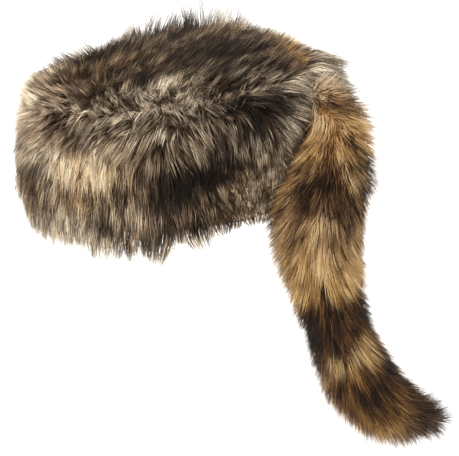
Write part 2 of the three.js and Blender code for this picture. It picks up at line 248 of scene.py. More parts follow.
def growFurTree():
    tree = bpy.data.node_groups.new("growFur", "GeometryNodeTree")
    tree.interface.new_socket("Geometry", in_out="OUTPUT", socket_type="NodeSocketGeometry")
    tree.interface.new_socket("Skin", in_out="INPUT", socket_type="NodeSocketGeometry")
    wanted = [("Guard Hair", "NodeSocketObject"), ("Fur", "NodeSocketMaterial"), ("Seed", "NodeSocketInt")]
    densities = ("Tufts per Area", "Wisps per Area", "Hairs per Area")
    wanted += [(name, "NodeSocketFloat") for name in (*densities, *hairGrowth["fromCoat"])]
    for name, kind in wanted:
        tree.interface.new_socket(name, in_out="INPUT", socket_type=kind)
    given = addNode(tree, "NodeGroupInput", result=None).outputs
    vectors, numbers = {"data_type": "FLOAT_VECTOR"}, {"data_type": "FLOAT"}
    onPoints = {"data_type": "FLOAT_VECTOR", "domain": "POINT"}
    readNode, keepNode = "GeometryNodeInputNamedAttribute", "GeometryNodeStoreNamedAttribute"
    maths, vectorMaths, chance = "ShaderNodeMath", "ShaderNodeVectorMath", "FunctionNodeRandomValue"
    operations = ("ADD", "SCALE", "NORMALIZE", "MULTIPLY", "SUBTRACT")
    add, scale, normalize, multiply, subtract = ({"operation": name} for name in operations)
    anyWay = {0: (-1.0, -1.0, -1.0), 1: (1.0, 1.0, 1.0)}
    place = addNode(tree, "GeometryNodeInputPosition")
    comb = addNode(tree, readNode, {"Name": "comb"}, **vectors)
    facts = ("reach", "stand", "gather", "mess")
    reach, stand, gathered, mess = (addNode(tree, readNode, {"Name": fact}, **numbers) for fact in facts)

    # Scatters roots over the skin and works out how each would grow if it stood alone.
    def sow(name, density, splay, seedStep):
        seed = addNode(tree, maths, {0: given["Seed"], 1: seedStep}, **add)
        sockets = {"Mesh": given["Skin"], "Density": density, "Seed": seed}
        sown = addNode(tree, "GeometryNodeDistributePointsOnFaces", sockets, None, distribute_method="RANDOM")
        facing = sown.outputs["Normal"]
        wildness = addNode(tree, maths, {0: splay, 1: mess}, **multiply)
        scatter = addNode(tree, chance, {**anyWay, "Seed": seed}, **vectors)
        scatter = addNode(tree, vectorMaths, {0: scatter, "Scale": wildness}, **scale)
        way = addNode(tree, vectorMaths, {0: comb, 1: scatter}, **add)
        way = addNode(tree, vectorMaths, {0: way}, **normalize)
        shortest = addNode(tree, maths, {0: 1.0, 1: given["Uneven Length"]}, **subtract)
        lengthSeed = addNode(tree, maths, {0: seed, 1: hairGrowth["lengthStep"]}, **add)
        share = addNode(tree, chance, {2: shortest, 3: 1.0, "Seed": lengthSeed}, 1, **numbers)
        length = addNode(tree, maths, {0: reach, 1: share}, **multiply)
        tipStep = addNode(tree, vectorMaths, {0: way, "Scale": length}, **scale)
        rise = addNode(tree, vectorMaths, {0: facing, "Scale": stand}, **scale)
        start = addNode(tree, vectorMaths, {0: way, 1: rise}, **add)
        start = addNode(tree, vectorMaths, {0: start}, **normalize)
        curlSeed = addNode(tree, maths, {0: seed, 1: hairGrowth["curlStep"]}, **add)
        curl = addNode(tree, chance, {**anyWay, "Seed": curlSeed}, **vectors)
        curling = addNode(tree, maths, {0: given["Curl"], 1: mess}, **multiply)
        curl = addNode(tree, vectorMaths, {0: curl, "Scale": curling}, **scale)
        start = addNode(tree, vectorMaths, {0: start, 1: curl}, **add)
        halfReach = addNode(tree, maths, {0: length, 1: 0.5}, **multiply)
        midStep = addNode(tree, vectorMaths, {0: start, "Scale": halfReach}, **scale)
        middle = addNode(tree, vectorMaths, {0: place, 1: midStep}, **add)
        tip = addNode(tree, vectorMaths, {0: place, 1: tipStep}, **add)
        points = sown.outputs["Points"]
        for part, value in (("Mid", middle), ("Tip", tip), ("Root", place)):
            sockets = {"Geometry": points, "Name": name + part, "Value": value}
            points = addNode(tree, keepNode, sockets, **onPoints)
        return points

    # Bends each one towards the nearest leader, more at the tip than at the middle, and leaves some astray.
    def gather(points, name, leaders, leader, pull):
        near = addNode(tree, "GeometryNodeSampleNearest", {"Geometry": leaders, "Sample Position": place})
        luck = addNode(tree, chance, {2: 0.0, 3: 1.0, "Seed": given["Seed"]}, 1, **numbers)
        joins = addNode(tree, maths, {0: luck, 1: given["Stray Share"]}, operation="GREATER_THAN")
        strength = addNode(tree, maths, {0: pull, 1: gathered}, **multiply)
        strength = addNode(tree, maths, {0: strength, 1: joins}, **multiply)
        led = {}
        for part in ("Root", "Mid", "Tip"):
            theirs = addNode(tree, readNode, {"Name": leader + part}, **vectors)
            sockets = {"Geometry": leaders, "Value": theirs, "Index": near}
            led[part] = addNode(tree, "GeometryNodeSampleIndex", sockets, **onPoints)
        ownRoot = addNode(tree, readNode, {"Name": name + "Root"}, **vectors)
        aside = addNode(tree, vectorMaths, {0: ownRoot, 1: led["Root"]}, **subtract)
        for part, share, width in hairGrowth["drawn"]:
            beside = addNode(tree, vectorMaths, {0: aside, "Scale": width}, **scale)
            goal = addNode(tree, vectorMaths, {0: led[part], 1: beside}, **add)
            weight = addNode(tree, maths, {0: strength, 1: share}, **multiply)
            own = addNode(tree, readNode, {"Name": name + part}, **vectors)
            drawn = addNode(tree, "ShaderNodeMix", {0: weight, 4: own, 5: goal}, 1, data_type="VECTOR")
            sockets = {"Geometry": points, "Name": name + part, "Value": drawn}
            points = addNode(tree, keepNode, sockets, **onPoints)
        sockets = {"Geometry": points, "Name": name + "Home", "Value": led["Root"]}
        return addNode(tree, keepNode, sockets, **onPoints)

    tufts = sow("tuft", given["Tufts per Area"], given["Tuft Splay"], hairGrowth["tuftStep"])
    wisps = sow("wisp", given["Wisps per Area"], given["Wisp Splay"], hairGrowth["wispStep"])
    wisps = gather(wisps, "wisp", tufts, "tuft", given["Tuft Pull"])
    hairs = sow("hair", given["Hairs per Area"], given["Hair Splay"], hairGrowth["hairStep"])
    hairs = gather(hairs, "hair", wisps, "wisp", given["Wisp Pull"])
    sideways = addNode(tree, chance, {**anyWay, "Seed": given["Seed"]}, **vectors)
    hairs = addNode(tree, keepNode, {"Geometry": hairs, "Name": "hairSide", "Value": sideways}, **onPoints)

    # Every station of every hair is set on a curve from root to middle to tip.
    form = addNode(tree, "GeometryNodeObjectInfo", {"Object": given["Guard Hair"]}, "Geometry")
    planted = addNode(tree, "GeometryNodeInstanceOnPoints", {"Points": hairs, "Instance": form})
    grown = addNode(tree, "GeometryNodeRealizeInstances", {"Geometry": planted})
    strand = addNode(tree, readNode, {"Name": "strand"}, **vectors)
    strand = addNode(tree, "ShaderNodeSeparateXYZ", {0: strand}, None).outputs
    parts = ("Root", "Mid", "Tip", "Side")
    root, middle, tip, side = (addNode(tree, readNode, {"Name": "hair" + part}, **vectors) for part in parts)
    low = addNode(tree, "ShaderNodeMix", {0: strand["Z"], 4: root, 5: middle}, 1, data_type="VECTOR")
    high = addNode(tree, "ShaderNodeMix", {0: strand["Z"], 4: middle, 5: tip}, 1, data_type="VECTOR")
    onCurve = addNode(tree, "ShaderNodeMix", {0: strand["Z"], 4: low, 5: high}, 1, data_type="VECTOR")
    along = addNode(tree, vectorMaths, {0: high, 1: low}, **subtract)
    across = addNode(tree, vectorMaths, {0: along, 1: side}, operation="CROSS_PRODUCT")
    across = addNode(tree, vectorMaths, {0: across}, **normalize)
    through = addNode(tree, vectorMaths, {0: across, 1: along}, operation="CROSS_PRODUCT")
    through = addNode(tree, vectorMaths, {0: through}, **normalize)
    halfHair = addNode(tree, maths, {0: given["Hair Width"], 1: 0.5}, **multiply)
    for direction, amount in ((across, strand["X"]), (through, strand["Y"])):
        wide = addNode(tree, maths, {0: halfHair, 1: amount}, **multiply)
        offset = addNode(tree, vectorMaths, {0: direction, "Scale": wide}, **scale)
        onCurve = addNode(tree, vectorMaths, {0: onCurve, 1: offset}, **add)
    placed = addNode(tree, "GeometryNodeSetPosition", {"Geometry": grown, "Position": onCurve})
    coated = addNode(tree, "GeometryNodeSetMaterial", {"Geometry": placed, "Material": given["Fur"]})
    addNode(tree, "NodeGroupOutput", {"Geometry": coated}, None)
    return tree


def growFur(name, skin, fur, coat, seed):
    patch = addObject(name + "Growing", skin.data)
    area = sum(polygon.area for polygon in patch.data.polygons)
    tree = bpy.data.node_groups.get("growFur") or growFurTree()
    modifier = patch.modifiers.new("growFur", "NODES")
    modifier.node_group = tree
    values = {
        "Guard Hair": guardHair, "Fur": fur, "Seed": seed, "Hairs per Area": coat["hairs"] / area,
        "Tufts per Area": 1 / coat["tuftSpacing"] ** 2, "Wisps per Area": 1 / coat["wispSpacing"] ** 2,
    }
    values.update({name: coat[setting] for name, setting in hairGrowth["fromCoat"].items()})
    for item in tree.interface.items_tree:
        if item.in_out == "INPUT" and item.name in values:
            modifier[item.identifier] = values[item.name]
    mesh = bpy.data.meshes.new_from_object(patch.evaluated_get(bpy.context.evaluated_depsgraph_get()))
    bpy.data.objects.remove(patch)
    mesh.name = name
    piece = addObject(name, mesh)
    toneHairs(mesh, coat, seed)
    print(name, "grown:", len(mesh.vertices) // hairPoints, "hairs,", len(mesh.polygons), "faces")
    return piece


# Gives each hair its tones from root to tip and its own cell of the map, and drops the notes it grew by.
# A tone is 0 at cream and 1 at black. Hairs of one wisp are alike, and wisps of one tuft nearly so.

hairTones = {
    "scramble": ((9173.1, 7351.7, 8437.3), 4375.85, 7.31),  # makes chance numbers of a wisp's place
    "kindOfWisp": 0.6, "kindOfHair": 0.4,
    "tuftLump": 10 * mm,
    "darkerRoot": 0.2,
    "paleMiddle": 0.12, "darkMiddle": 0.1,  # how much paler the middle is under each tip
    "paleTip": 0.3, "darkTip": 0.35, "plainTip": 0.04,
    "warmSpread": 0.25,
    "cell": ((0.2, 0.3), (0.08, 0.84)),  # where a hair lies in its cell, across and up
}


def toneHairs(mesh, coat, seed):
    random = np.random.RandomState(seed)
    count = len(mesh.vertices) // hairPoints
    along = readFact(mesh, "strand", 3)[:, 2].reshape(count, hairPoints)
    home = readFact(mesh, "hairHome", 3).reshape(count, hairPoints, 3)[:, 0]
    facts = [readFact(mesh, name, 1).reshape(count, hairPoints)[:, 0] for name in ("dark", "warm", "pale")]
    dark, warm, pale = facts
    waves, stretch, shift = hairTones["scramble"]
    wisp = np.abs(np.sin(home @ np.array(waves)) * stretch) % 1
    single = random.rand(count)
    fleck = coat["tuftContrast"] * lumps(home, hairTones["tuftLump"], seed)
    fleck = fleck + coat["wispContrast"] * (wisp - 0.5)
    body = dark + fleck + coat["hairContrast"] * (single - 0.5)
    kind = hairTones["kindOfWisp"] * ((wisp * shift) % 1) + hairTones["kindOfHair"] * random.rand(count)
    paleTip = kind < pale
    darkTip = kind > 1 - coat["darkTips"]
    root = np.clip(body + hairTones["darkerRoot"], 0, 1)
    middle = np.where(darkTip, body - hairTones["darkMiddle"], body)
    middle = np.clip(np.where(paleTip, body - hairTones["paleMiddle"], middle), 0, 1)
    tip = np.where(darkTip, body + hairTones["darkTip"], body + hairTones["plainTip"])
    tip = np.clip(np.where(paleTip, body * hairTones["paleTip"], tip), 0, 1)
    toMiddle, toTip = np.clip(along / 0.5, 0, 1), np.clip(along / 0.5 - 1, 0, 1)
    tone = root[:, None] * (1 - toMiddle) + middle[:, None] * (toMiddle - toTip) + tip[:, None] * toTip
    warmth = (warm + hairTones["warmSpread"] * (single - 0.5))[:, None]
    warmth = np.clip(np.repeat(warmth, hairPoints, axis=1), 0, 1)
    for name, values in (("tone", tone), ("warmth", warmth)):
        fact = mesh.attributes.new(name, "FLOAT", "POINT")
        fact.data.foreach_set("value", values.astype(np.float32).ravel())
    corners = np.zeros(len(mesh.loops), dtype=np.int32)
    mesh.loops.foreach_get("vertex_index", corners)
    hair, spot = corners // hairPoints, corners % hairPoints
    cells = math.ceil(math.sqrt(count))
    (left, step), (low, tall) = hairTones["cell"]
    across = (hair % cells + left + step * (spot % 3)) / cells
    high = (hair // cells + low + tall * along.ravel()[corners]) / cells
    layer = mesh.uv_layers.new(name="OFBake")
    layer.data.foreach_set("uv", np.stack([across, high], -1).astype(np.float32).ravel())
    kept = ("tone", "warmth", "position", "material_index", "OFBake")
    for name in [a.name for a in mesh.attributes if a.name not in kept and not a.name.startswith(".")]:
        mesh.attributes.remove(mesh.attributes[name])
    mesh.polygons.foreach_set("use_smooth", [True] * len(mesh.polygons))
    mesh.update()


# Furs and the knitted ground

greyCoat = [
    (0.0, "#f1e8d6"), (0.2, "#cfc1ab"), (0.42, "#998c7b"),
    (0.64, "#5b4f43"), (0.82, "#2f2519"), (1.0, "#150e08"),
]
rustCoat = [
    (0.0, "#f4dba6"), (0.2, "#dab168"), (0.42, "#ad7f42"),
    (0.64, "#6c4523"), (0.82, "#371f0c"), (1.0, "#150a03"),
]


def startFinish(name):
    finish = bpy.data.materials.new(name)
    finish.use_nodes = True
    finish.node_tree.nodes.clear()
    return finish, finish.node_tree


# Colours of hair by its tone and warmth. Streaks are added to the tone where they are given.
def addCoatColours(tree, streaks=None):
    read = {"kind": "ShaderNodeAttribute", "result": "Fac"}
    tone, warmth = (addNode(tree, attribute_name=name, **read) for name in ("tone", "warmth"))
    if streaks:
        tone = addNode(tree, "ShaderNodeMath", {0: tone, 1: streaks}, operation="ADD")
    grey, rust = (addNode(tree, "ShaderNodeValToRGB", {0: tone}, stops=coat) for coat in (greyCoat, rustCoat))
    return addNode(tree, "ShaderNodeMix", {0: warmth, 6: grey, 7: rust}, 2, data_type="RGBA")


def makeGuardHairFur():
    # Raccoon guard hair: a smooth keratin shaft, cream to black along its length, with a soft silky glint.
    fur, tree = startFinish("raccoonGuardHair")
    colour = addCoatColours(tree)
    finish = {"Base Color": colour, "Roughness": 0.5, "IOR": 1.55, "Specular IOR Level": 0.18}
    shader = addNode(tree, "ShaderNodeBsdfPrincipled", finish)
    addNode(tree, "ShaderNodeOutputMaterial", {"Surface": shader}, None)
    return fur


def makeUnderfurDown():
    # Underfur down: fine matt wool under the guard hair, seen only as soft dark streaks between the wisps.
    down, tree = startFinish("underfurDown")
    lay = addNode(tree, "ShaderNodeAttribute", result="Vector", attribute_name="lay")
    strands = addNode(tree, "ShaderNodeTexNoise", {"Vector": lay, "Scale": 900.0, "Detail": 3.0})
    streaks = addNode(tree, "ShaderNodeMath", {0: strands, 1: 0.8, 2: -0.4}, operation="MULTIPLY_ADD")
    colour = addCoatColours(tree, streaks)
    bump = addNode(tree, "ShaderNodeBump", {"Height": strands, "Strength": 0.8, "Distance": 0.6 * mm})
    finish = {"Base Color": colour, "Roughness": 0.95, "Specular IOR Level": 0.1, "Normal": bump}
    shader = addNode(tree, "ShaderNodeBsdfPrincipled", finish)
    addNode(tree, "ShaderNodeOutputMaterial", {"Surface": shader}, None)
    return down


def makeKnittedGround():
    # Knitted polyester ground of pile fabric: matt, with courses of small loops 2 mm apart that show as ribs.
    knit, tree = startFinish("knittedGround")
    spot = addNode(tree, "ShaderNodeTexCoord", result="Object")
    ribs = {"Vector": spot, "Scale": 160.0, "Distortion": 1.5, "Detail": 2.0}
    courses = addNode(tree, "ShaderNodeTexWave", ribs, "Fac", bands_direction="Z")
    fuzz = addNode(tree, "ShaderNodeTexNoise", {"Vector": spot, "Scale": 450.0, "Detail": 4.0})
    height = addNode(tree, "ShaderNodeMix", {0: 0.45, 2: courses, 3: fuzz}, data_type="FLOAT")
    tones = [(0.2, "#4b4038"), (0.5, "#6b5d51"), (0.85, "#85776a")]
    colour = addNode(tree, "ShaderNodeValToRGB", {0: height}, stops=tones)
    bump = addNode(tree, "ShaderNodeBump", {"Height": height, "Strength": 0.7, "Distance": 0.5 * mm})
    finish = {"Base Color": colour, "Roughness": 0.92, "Specular IOR Level": 0.15, "Sheen Weight": 0.3}
    shader = addNode(tree, "ShaderNodeBsdfPrincipled", {**finish, "Normal": bump})
    addNode(tree, "ShaderNodeOutputMaterial", {"Surface": shader}, None)
    return knit


guardHair = makeGuardHair()
guardHairFur = makeGuardHairFur()
underfurDown = makeUnderfurDown()
knittedGround = makeKnittedGround()
print("guard hair and finishes made")


def finishPiece(piece, node):
    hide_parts(node)
    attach(piece, "root")


# A closed, softly lumpy body of underfur. Its streaks run along the hair, so lay is short in that direction.

underfurForm = {
    "streak": 0.8,
    "contrast": 0.55,
    "darkness": 0.42,
    "lump": 7 * mm,
    "seed": 3,
}


def makeUnderfur(name, points, faces, tones, alongHair, roughness):
    lay = points * (1 - underfurForm["streak"] * np.array(alongHair))
    tone = np.clip(tones["dark"] * underfurForm["contrast"] + underfurForm["darkness"], 0, 1)
    piece = makeMesh(name, points, faces, {"tone": tone, "warmth": np.clip(tones["warm"], 0, 1), "lay": lay})
    normals = np.zeros(len(points) * 3, dtype=np.float32)
    piece.data.vertices.foreach_get("normal", normals)
    rise = lumps(points, underfurForm["lump"], underfurForm["seed"])
    moved = points + normals.reshape(-1, 3) * rise[:, None] * roughness
    piece.data.vertices.foreach_set("co", moved.astype(np.float32).ravel())
    piece.data.materials.append(underfurDown)
    piece.data.update()
    return piece


# The band

bandCoat = {
    "halves": {"bandFurLeft": 101, "bandFurRight": 202},  # and the seed of each
    "hairs": 19200,  # on each half
    "skinAround": 132,
    "skinUp": 34,
    # height is a share of the band's, lie is degrees under level and reach is mm
    "rows": [
        ("height", "full", "lie", "reach", "gather", "mess", "swirl"),
        (-0.005, 0.1, 82, 27, 1.3, 0.65, 0.7),
        (0.0, 0.45, 80, 28, 1.3, 0.65, 0.7),
        (0.12, 0.72, 76, 29, 1.15, 0.7, 0.7),
        (0.42, 0.9, 66, 28, 0.75, 0.8, 0.8),
        (0.7, 0.97, 56, 26, 0.75, 0.9, 1.2),
        (0.86, 0.9, 44, 26, 1.0, 0.8, 2.6),
        (0.97, 0.62, 26, 29, 1.1, 0.8, 3.0),
        (1.05, 0.34, 4, 29, 1.1, 0.8, 3.0),
        (1.07, 0.1, -12, 29, 1.1, 0.8, 3.0),
    ],
    # turn is degrees from the wearer's left towards the tail: hair at the hem and at the rim is a share of
    # its reach, hair at the hem stands out so many degrees more, and hair at the rim stands up so many more,
    # after a share of its own lie is levelled out. Body is how full the underfur is at the rim.
    "sides": [
        ("turn", "hem", "rim", "flare", "steeper", "level", "body"),
        (-180, 1.0, 1.15, 0, 58, 0.0, 1.0), (-165, 1.0, 1.5, 0, 66, 0.0, 1.0),
        (-152, 1.0, 1.6, 0, 66, 0.0, 1.0), (-140, 1.0, 1.3, 0, 66, 0.0, 1.0),
        (-122, 1.0, 0.55, 0, 60, 0.0, 0.9), (-85, 0.98, 0.6, 3, 40, 0.0, 0.55),
        (-52, 0.94, 0.72, 8, 32, 0.0, 0.54), (-24, 0.84, 0.8, 4, 16, 0.0, 0.8),
        (-8, 0.9, 0.9, 2, 6, 0.0, 1.0), (8, 1.0, 0.95, 0, 4, 0.0, 1.0), (20, 1.1, 1.0, 0, 2, 0.0, 1.0),
        (32, 0.66, 1.0, 0, 0, 0.0, 1.0), (44, 0.3, 1.0, 0, 0, 0.0, 1.0), (70, 0.3, 0.95, 0, 0, 0.0, 1.0),
        (92, 0.3, 0.9, 0, 6, 0.5, 1.0), (104, 0.4, 1.2, 0, 2, 0.8, 1.0), (122, 0.5, 1.2, 0, -10, 0.8, 1.0),
        (138, 0.8, 0.55, 0, 4, 0.5, 1.0), (160, 1.0, 0.75, 0, 40, 0.0, 1.0),
        (180, 1.0, 1.15, 0, 58, 0.0, 1.0),
    ],
    "start": {"dark": 0.42, "warm": 0.12, "pale": 0.38},
    # across is the turn, up is mm over the hem
    "patches": [
        ("across", "up", "wide", "tall", "dark", "warm", "pale"),
        (29, 20, 32, 14, 0.86, 0.35, 0.12), (58, 40, 14, 22, 0.34, 0.2, 0.3),
        (24, 68, 18, 7, 0.5, 0.3, 0.2), (27, 47, 32, 14, 1.3, 0.4, 0.0),
        (-4, 53, 15, 14, 0.17, 0.45, 0.6), (-12, 35, 9, 7, 0.5, 0.6, 0.1),
        (-46, 42, 15, 17, 0.5, 0.3, 0.1), (-35, 33, 9, 9, 0.96, 0.5, 0.1),
        (-16, 80, 12, 11, 0.5, 0.3, 0.1), (-56, 82, 20, 15, 0.34, 0.15, 0.68),
        (-22, 74, 14, 10, 0.52, 0.3, 0.08), (53, 79, 20, 14, 1.14, 0.15, 0.05),
        (10, 76, 30, 5, 0.66, 0.15, 0.34), (118, 76, 18, 16, 0.58, 0.1, 0.4),
        (170, 40, 40, 22, 0.78, 0.3, 0.15), (-130, 44, 34, 20, 0.76, 0.25, 0.2),
        (150, 80, 14, 14, 0.24, 0.85, 0.4), (176, 84, 12, 12, 0.56, 0.6, 0.35),
        (-155, 84, 16, 14, 1.1, 0.6, 0.0),
    ],
    "tuftSpacing": 12 * mm, "wispSpacing": 3.4 * mm, "hairWidth": 0.42 * mm,
    "tuftPull": 0.6, "wispPull": 0.7, "strayShare": 0.12,
    "tuftSplay": 0.24, "wispSplay": 0.24, "hairSplay": 0.22, "curl": 0.2, "unevenLength": 0.5,
    "tuftContrast": 0.44, "wispContrast": 0.5, "hairContrast": 0.46, "darkTips": 0.28,
    # layers of lumps: amount, size and seed
    "shade": [(0.22, 17 * mm, 21)],
    "drift": [(0.4, 36 * mm, 5), (0.28, 20 * mm, 9)],
    "unevenReach": [(0.2, 15 * mm, 27)],
    # the heights between which the body thins, hair takes the rim's way, and it is drawn to the back
    "thinsAt": (0.3, 0.9), "rimAt": (0.4, 0.95), "backwardAt": (0.85, 1.05),
    "backward": 0.3,
    "stand": 0.9, "standLost": 0.4, "lostAt": (0.3, 0.0),  # hair at the hem stands less
    "underfurAround": 120, "underfurUp": 24, "underfurBack": (0.7, 0.3), "roughness": 1.2 * mm,
}


def bandSkinPoints(turn, height, depth):
    body = column(bandCoat["sides"], "body", signedDegrees(turn))
    full = column(bandCoat["rows"], "full", height) * capForm["underfur"]
    full = full * (1 - (1 - body) * smooth(height, *bandCoat["thinsAt"]))
    return ovalPoints(turn, full - depth, height * bandHeight)


def bandTones(turn, points):
    across, up = signedDegrees(turn), points[:, 2] / mm
    return paintPatches(points, across, up, bandCoat["start"], bandCoat)


def makeBandSkin():
    rows, sides = bandCoat["rows"], bandCoat["sides"]
    heights = np.linspace(rows[1][0], rows[-1][0], bandCoat["skinUp"])
    turns = evenTurns(bandCoat["skinAround"])
    height, turn = (grid.ravel() for grid in np.meshgrid(heights, turns, indexing="ij"))
    degrees = signedDegrees(turn)
    points = bandSkinPoints(turn, height, capForm["rootDepth"])
    outward, around = ovalWays(turn)
    nearRim = smooth(height, *bandCoat["rimAt"])
    steeper, flare, level = (column(sides, name, degrees) for name in ("steeper", "flare", "level"))
    lie = column(rows, "lie", height) * (1 - nearRim * level)
    lie = np.radians(lie - nearRim * steeper - (1 - nearRim) * flare)
    comb = outward * np.cos(lie)[:, None] + np.array([0, 0, -1]) * np.sin(lie)[:, None]
    drift = lumpLayers(points, bandCoat["drift"]) * column(rows, "swirl", height)
    backward = bandCoat["backward"] * smooth(height, *bandCoat["backwardAt"])
    comb = unit(comb + around * drift[:, None] + backward[:, None] * np.array([0, 1, 0]))
    reach = column(rows, "reach", height) * mm
    reach = reach * (column(sides, "hem", degrees) * (1 - nearRim) + column(sides, "rim", degrees) * nearRim)
    reach = reach * (1 + lumpLayers(points, bandCoat["unevenReach"]))
    stand = bandCoat["stand"] - bandCoat["standLost"] * smooth(height, *bandCoat["lostAt"])
    facts = {"comb": comb, "reach": reach, "stand": stand}
    facts["mess"], facts["gather"] = column(rows, "mess", height), column(rows, "gather", height)
    facts.update(bandTones(turn, points))
    return makeMesh("bandSkin", points, gridFaces(len(heights), len(turns)), facts)


def takeHalf(skin, left):
    half = bpy.data.objects.new(skin.name + ("Left" if left else "Right"), skin.data.copy())
    work = bmesh.new()
    work.from_mesh(half.data)
    spare = [face for face in work.faces if (face.calc_center_median().x > 0) != left]
    bmesh.ops.delete(work, geom=spare, context="FACES")
    work.to_mesh(half.data)
    work.free()
    return half


def makeBandUnderfur():
    rows = bandCoat["rows"]
    low, high = rows[1][0], rows[-1][0]
    turns = evenTurns(bandCoat["underfurAround"])
    whole = np.ones(turns.shape)
    heights = np.linspace(low, high, bandCoat["underfurUp"])
    rings = [bandSkinPoints(turns, height * whole, 0) for height in heights]
    for height in (high, *bandCoat["underfurBack"], low):
        rings.append(ovalPoints(turns, capForm["seatGap"], height * bandHeight * whole))
    points = np.concatenate(rings)
    faces = gridFaces(len(rings), len(turns))
    last = (len(rings) - 1) * len(turns)
    for i in range(len(turns)):
        beside = (i + 1) % len(turns)
        faces.append((last + i, last + beside, beside, i))
    tones = bandTones(np.tile(turns, len(rings)), points)
    return makeUnderfur("bandUnderfur", points, faces, tones, (0, 0, 1), bandCoat["roughness"])


bandUnderfur = makeBandUnderfur()
finishPiece(bandUnderfur, "band_pile")
bandSkin = makeBandSkin()
for name, seed in bandCoat["halves"].items():
    half = takeHalf(bandSkin, name == "bandFurLeft")
    finishPiece(growFur(name, half, guardHairFur, bandCoat, seed), "band_pile")
    bpy.data.objects.remove(half)
bpy.data.objects.remove(bandSkin)


# The top panel

crownCoat = {
    "hairs": 19200,
    "seed": 303,
    "skinAround": 96,
    "skinAcross": 22,
    # share is how far out from the middle, lie is degrees off the panel
    "rows": [("share", "lie"), (0.0, 20), (0.55, 24), (0.8, 36), (1.0, 56)],
    # the hair at the edge by its turn from the wearer's left: its lie and reach as shares, and how far it is
    # combed out over the seam instead of back
    "sides": [
        ("turn", "lie", "reach", "over"),
        (-180, 1.1, 0.8, 0.3), (-165, 1.4, 0.95, 0.3), (-150, 1.4, 0.95, 0.3), (-136, 0.6, 0.55, 0.6),
        (-120, 0.5, 0.55, 0.65), (-85, 0.8, 0.7, 0.75), (-50, 0.8, 0.85, 0.75),
        (-15, 0.65, 1.05, 0.72), (45, 0.65, 1.05, 0.72), (70, 0.5, 0.85, 0.6), (90, 0.2, 0.6, 0.3),
        (130, 0.2, 0.6, 0.4), (150, 0.8, 0.7, 0.4), (168, 1.0, 0.75, 0.3), (180, 1.1, 0.8, 0.3),
    ],
    "start": {"dark": 0.85, "warm": 0.25, "pale": 0.15},
    # across is mm to the wearer's left, up is mm to the back
    "patches": [
        ("across", "up", "wide", "tall", "dark", "warm", "pale"),
        (36, -36, 34, 36, 0.74, 0.5, 0.1), (-52, 6, 20, 52, 0.86, 0.4, 0.06),
        (78, 10, 13, 56, 0.62, 0.1, 0.45), (62, 27, 12, 20, 0.34, 0.05, 0.55),
        (-80, -48, 15, 24, 1.25, 0.6, 0.0), (-84, -2, 18, 18, 0.12, 0.5, 0.55),
        (-76, 38, 16, 17, 0.1, 0.8, 0.5), (60, -68, 18, 20, 0.46, 0.12, 0.4),
        (52, -8, 13, 16, 0.98, 0.3, 0.04), (76, 46, 14, 22, 0.4, 0.05, 0.6),
        (34, -84, 34, 12, 0.6, 0.2, 0.4), (-40, 76, 28, 18, 0.4, 0.9, 0.3),
        (40, 80, 26, 14, 0.7, 0.15, 0.35),
    ],
    "reach": 27 * mm,
    "tuftSpacing": 12 * mm, "wispSpacing": 3.4 * mm, "hairWidth": 0.42 * mm,
    "tuftPull": 0.6, "wispPull": 0.7, "strayShare": 0.12,
    "tuftSplay": 0.26, "wispSplay": 0.24, "hairSplay": 0.2, "curl": 0.14, "unevenLength": 0.5,
    "tuftContrast": 0.5, "wispContrast": 0.5, "hairContrast": 0.46, "darkTips": 0.2,
    # layers of lumps: amount, size and seed
    "shade": [(0.36, 16 * mm, 31)],
    "swirl": [(1, 24 * mm, 13)],
    "edgeSwirl": [(1.2, 26 * mm, 15)],
    "unevenReach": [(0.2, 15 * mm, 29)],
    "span": (0.02, 0.99),  # hair grows between these shares of the way out
    # the shares between which hair takes the edge's way, and its lie and reach, and swirls more
    "edgeAt": (0.5, 0.95), "brinkAt": (0.72, 0.96), "swirlAt": (0.7, 1.0),
    # at the middle, and how much more at the edge
    "swirling": (0.6, 1.2), "mess": (0.9, 0.1), "gather": (0.8, 0.3),
    "stand": 0.7,
    "thinner": 0.75, "thinnerAt": (0.72, 1.02),  # the underfur thins towards the edge
    "underfurAround": 96, "underfurAcross": 16, "underfurSpan": (0.985, 0.04), "roughness": 1.2 * mm,
}


def crownPoints(turn, share, depth):
    height = bandHeight + capForm["backing"] + capForm["crownUnderfur"] + crownRise * (1 - share ** 2) - depth
    height = height - crownCoat["thinner"] * capForm["crownUnderfur"] * smooth(share, *crownCoat["thinnerAt"])
    points = ovalPoints(turn, 0 * turn, np.full(turn.shape, bandHeight))
    return np.stack([points[:, 0] * share, points[:, 1] * share, height], -1)


def crownTones(points):
    across, up = points[:, 0] / mm, points[:, 1] / mm
    return paintPatches(points, across, up, crownCoat["start"], crownCoat)


